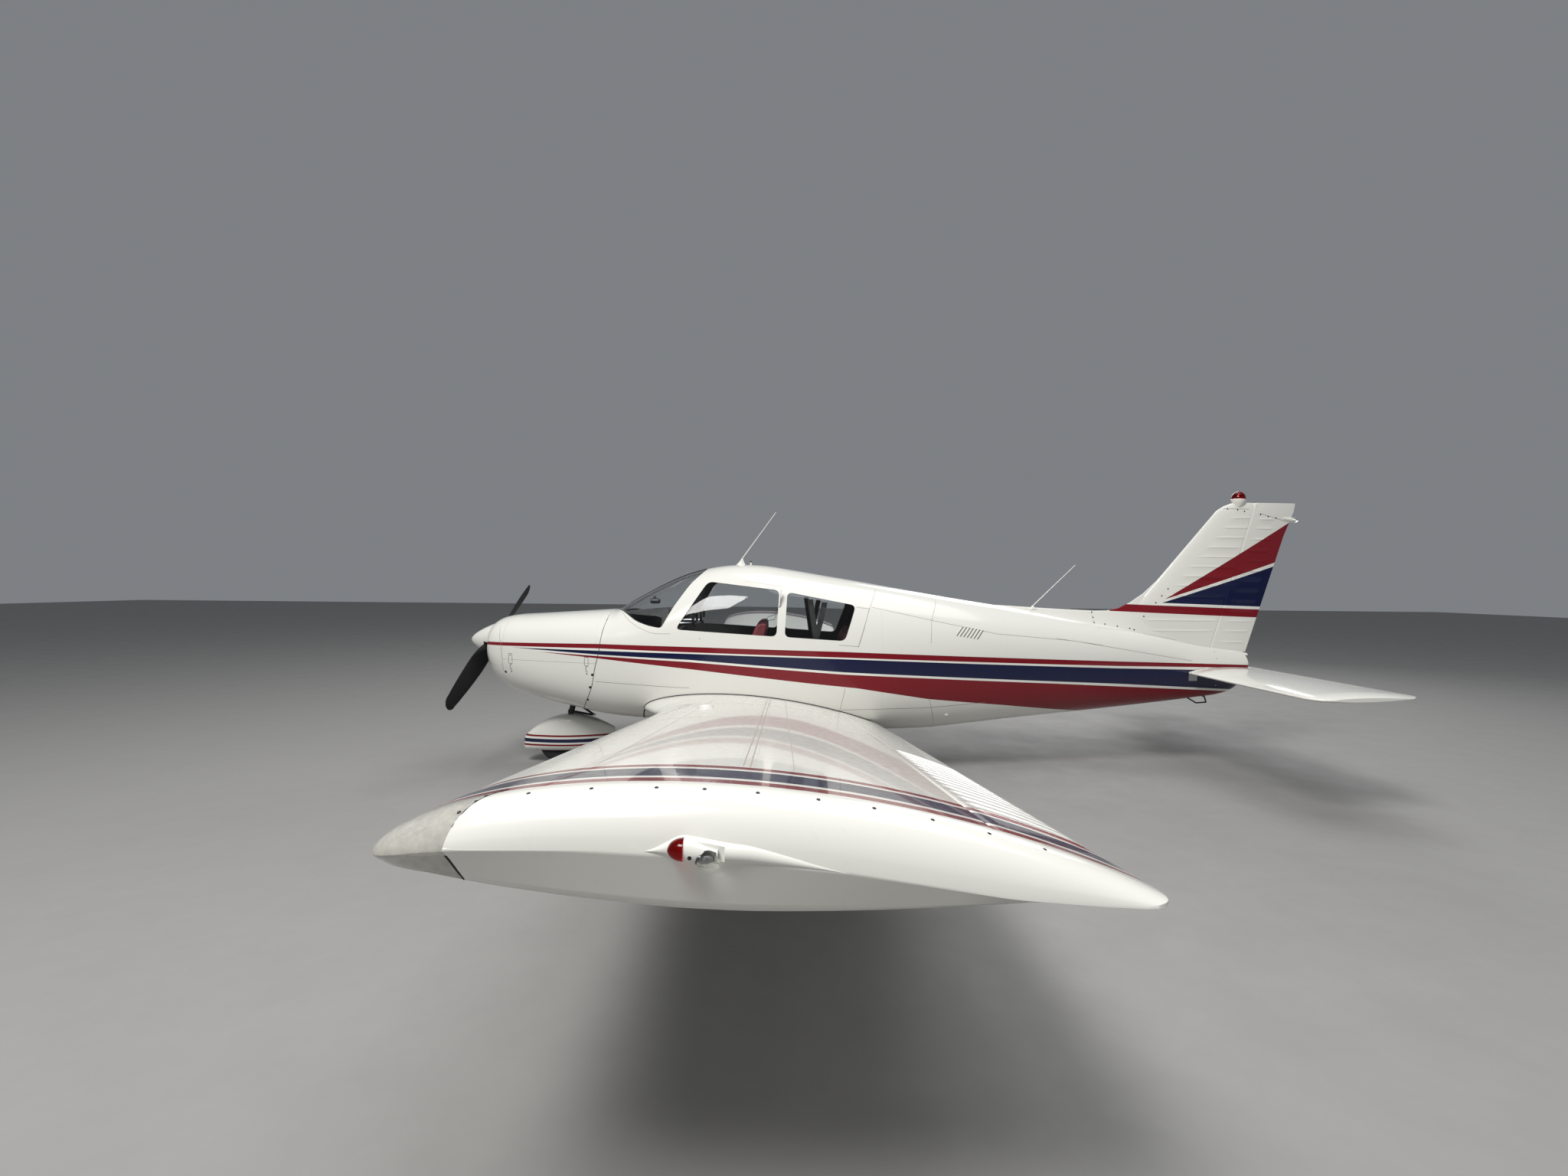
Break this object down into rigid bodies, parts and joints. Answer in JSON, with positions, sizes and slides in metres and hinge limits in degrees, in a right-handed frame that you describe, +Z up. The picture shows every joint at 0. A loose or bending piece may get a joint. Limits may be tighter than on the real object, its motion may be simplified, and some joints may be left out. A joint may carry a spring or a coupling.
{
  "type": "light aircraft",
  "caption": "Low-wing single-engine light aircraft on fixed tricycle gear with wheel fairings, all-moving tailplane, swept fin, hollow cabin with windows and a hinged door.",
  "frame": {"origin": "on the ground at the middle of the aircraft's length, on its plane of symmetry", "axes": "+X aft towards the tail, +Y towards the right wing tip, +Z up"},
  "size_m": [7.1273, 9.2156, 2.392],
  "materials": {
    "white_paint": "high gloss cream white paint with red and navy stripes",
    "glazing": "clear acrylic",
    "clear_lens": "clear moulded acrylic",
    "red_lens": "red moulded glass",
    "green_lens": "green moulded glass",
    "propeller_black": "satin black paint",
    "alloy": "satin",
    "engine_metal": "cast",
    "dark_steel": "satin dark grey",
    "rubber": "matte",
    "cabin_trim": "matte black",
    "seat_cloth": "dark red cloth"
  },
  "bodies": {
    "airframe": {"cowl_top": "white_paint", "cowl_bottom": "white_paint", "cabin_shell": "white_paint", "tailcone": "white_paint", "fin": "white_paint", "wing_right": "white_paint", "wing_left": "white_paint", "wing_tip_right": "white_paint", "wing_tip_left": "white_paint", "main_pant_right": "white_paint", "main_pant_left": "white_paint", "comm_antenna": "white_paint", "nav_antenna": "white_paint", "pitot_mast": "white_paint", "landing_light": "clear_lens", "tip_lens_right": "clear_lens", "tip_lens_left": "clear_lens", "engine_block": "engine_metal", "exhaust_pipe": "dark_steel", "firewall": "alloy", "windscreen_right": "glazing", "windscreen_left": "glazing", "window_front_left": "glazing", "window_rear_right": "glazing", "window_rear_left": "glazing", "cabin_floor": "cabin_trim", "instrument_panel": "cabin_trim", "front_seat_right": "seat_cloth", "front_seat_left": "seat_cloth", "rear_bench": "seat_cloth", "beacon": "red_lens", "nav_light_left": "red_lens", "nav_light_right": "green_lens", "main_leg_right": "alloy", "main_leg_left": "alloy", "nose_strut": "dark_steel", "boarding_step": "dark_steel"},
    "propeller": {"propeller": "propeller_black", "spinner": "white_paint"},
    "nose_steering": {"nose_fork": "dark_steel", "nose_pant": "white_paint"},
    "nose_wheel": {"nose_tyre": "rubber", "nose_hub": "alloy"},
    "main_wheel_left": {"main_tyre_left": "rubber", "main_hub_left": "alloy"},
    "main_wheel_right": {"main_tyre_right": "rubber", "main_hub_right": "alloy"},
    "rudder": {"rudder": "white_paint", "tail_light": "clear_lens"},
    "stabilator": {"stabilator": "white_paint"},
    "anti_servo_tab": {"anti_servo_tab": "white_paint"},
    "aileron_left": {"aileron_left": "white_paint"},
    "aileron_right": {"aileron_right": "white_paint"},
    "flap_left": {"flap_left": "white_paint"},
    "flap_right": {"flap_right": "white_paint"},
    "cabin_door": {"cabin_door": "white_paint", "door_window": "glazing"},
    "oil_door": {"oil_door": "white_paint"}
  },
  "joints": [
    {"name": "propeller_spin", "type": "hinge", "parent": "airframe", "child": "propeller", "pos_m": [-3.3715, 0, 1.047], "axis": [1, 0, 0], "continuous": true},
    {"name": "nose_steer", "type": "hinge", "parent": "airframe", "child": "nose_steering", "pos_m": [-2.7635, 0, 0.18], "axis": [0.2425, 0, 0.9701], "range_deg": [-30, 30]},
    {"name": "nose_wheel_spin", "type": "hinge", "parent": "nose_steering", "child": "nose_wheel", "pos_m": [-2.7885, 0, 0.18], "axis": [0, 1, 0], "continuous": true},
    {"name": "left_wheel_spin", "type": "hinge", "parent": "airframe", "child": "main_wheel_left", "pos_m": [-0.9295, -1.525, 0.222], "axis": [0, 1, 0], "continuous": true},
    {"name": "right_wheel_spin", "type": "hinge", "parent": "airframe", "child": "main_wheel_right", "pos_m": [-0.9295, 1.525, 0.222], "axis": [0, 1, 0], "continuous": true},
    {"name": "rudder_swing", "type": "hinge", "parent": "airframe", "child": "rudder", "pos_m": [2.94882, 0, 1.5], "axis": [0.2905, 0, 0.9569], "range_deg": [-27, 27]},
    {"name": "stabilator_pitch", "type": "hinge", "parent": "airframe", "child": "stabilator", "pos_m": [2.7365, 0, 0.832], "axis": [0, -1, 0], "range_deg": [-6, 14]},
    {"name": "tab_pitch", "type": "hinge", "parent": "stabilator", "child": "anti_servo_tab", "pos_m": [3.15322, 0, 0.84728], "axis": [0, -1, 0], "range_deg": [-4.5, 10.5]},
    {"name": "aileron_left_swing", "type": "hinge", "parent": "airframe", "child": "aileron_left", "pos_m": [-0.4385, -3.71067, 0.88121], "axis": [0, -0.9925, 0.1219], "range_deg": [-15, 30]},
    {"name": "aileron_right_swing", "type": "hinge", "parent": "airframe", "child": "aileron_right", "pos_m": [-0.4385, 3.71067, 0.88121], "axis": [0, -0.9925, -0.1219], "range_deg": [-15, 30]},
    {"name": "flap_left_swing", "type": "hinge", "parent": "airframe", "child": "flap_left", "pos_m": [-0.4385, -1.85957, 0.65392], "axis": [0, 0.9925, -0.1219], "range_deg": [0, 40]},
    {"name": "flap_right_swing", "type": "hinge", "parent": "airframe", "child": "flap_right", "pos_m": [-0.4385, 1.85957, 0.65392], "axis": [0, 0.9925, 0.1219], "range_deg": [0, 40]},
    {"name": "cabin_door_swing", "type": "hinge", "parent": "airframe", "child": "cabin_door", "pos_m": [-1.7675, 0.576, 1], "axis": [0, 0, 1], "range_deg": [0, 75]},
    {"name": "oil_door_swing", "type": "hinge", "parent": "airframe", "child": "oil_door", "pos_m": [-2.6935, 0.156, 1.3], "axis": [1, 0, 0], "range_deg": [0, 100]}
  ],
  "couplings": [
    {"joint": "nose_steer", "follows": "rudder_swing", "ratio": -1.1111},
    {"joint": "tab_pitch", "follows": "stabilator_pitch", "ratio": 0.75},
    {"joint": "flap_right_swing", "follows": "flap_left_swing", "ratio": 1}
  ]
}
